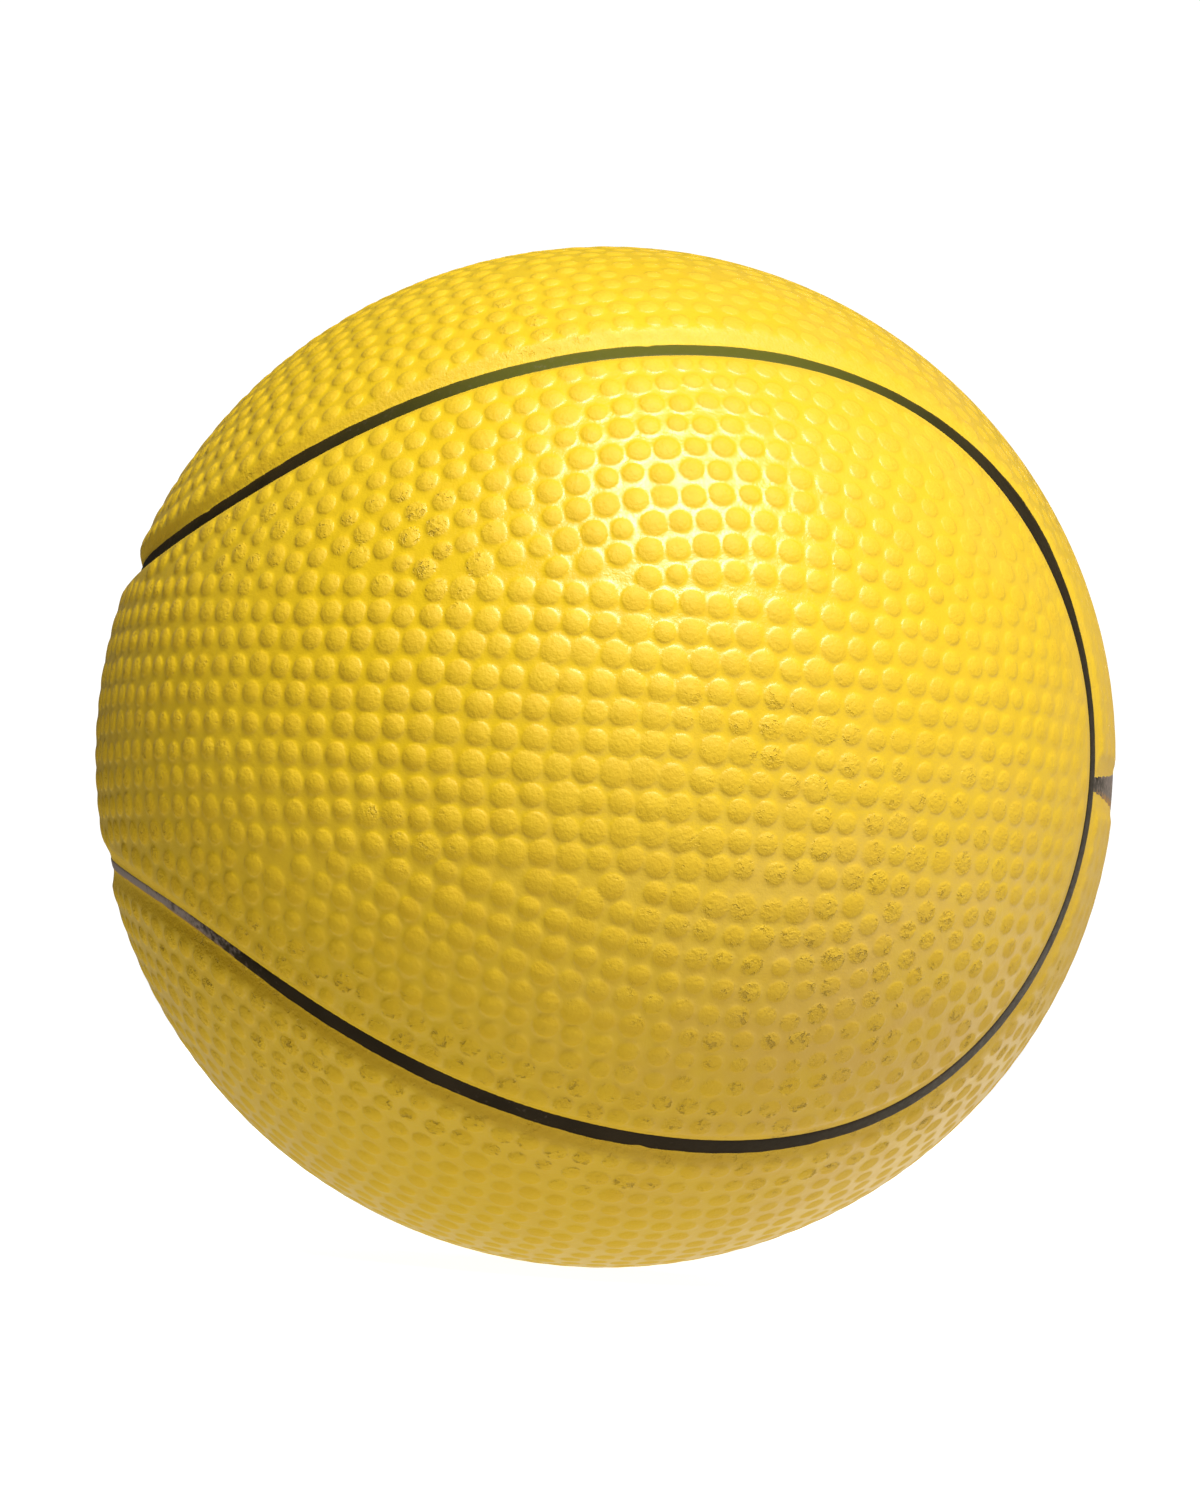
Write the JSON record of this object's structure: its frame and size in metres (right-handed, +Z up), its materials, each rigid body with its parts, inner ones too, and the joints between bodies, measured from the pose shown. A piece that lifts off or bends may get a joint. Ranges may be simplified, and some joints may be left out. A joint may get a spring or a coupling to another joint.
{
  "type": "stress ball",
  "caption": "Round foam squeeze ball with a pebbled moulded skin, basketball-style channels and painted lines along the channels.",
  "frame": {"origin": "centre of the ball", "axes": "-Y out of the middle of the large blank front panel, +Z up through the middle of the upper lobe, +X out of the neck where the cross line lies"},
  "size_m": [0.0628, 0.063, 0.063],
  "materials": {
    "skin": "satin moulded polyurethane foam skin with a pebbled texture",
    "foam": "soft open-cell polyurethane foam",
    "line_paint": "black flexible paint over the moulded skin, satin"
  },
  "bodies": {
    "ball": {"foam_core": "foam", "back_panel": "skin", "upper_front_panel": "skin", "upper_back_panel": "skin", "lower_front_panel": "skin", "lower_back_panel": "skin", "seam_line": "line_paint", "centre_line": "line_paint", "neck_line": "line_paint", "front_cross_line": "line_paint", "back_cross_line": "line_paint"},
    "pressed_side": {"front_panel": "skin"}
  },
  "joints": [
    {"name": "squeeze", "type": "slide", "parent": "ball", "child": "pressed_side", "axis": [0, 1, 0], "range_m": [0, 0.02], "stiffness_N_per_m": 1500, "deforming": ["foam_core", "front_panel", "back_panel", "upper_front_panel", "upper_back_panel", "lower_front_panel", "lower_back_panel", "seam_line", "centre_line", "neck_line", "front_cross_line", "back_cross_line"]}
  ]
}
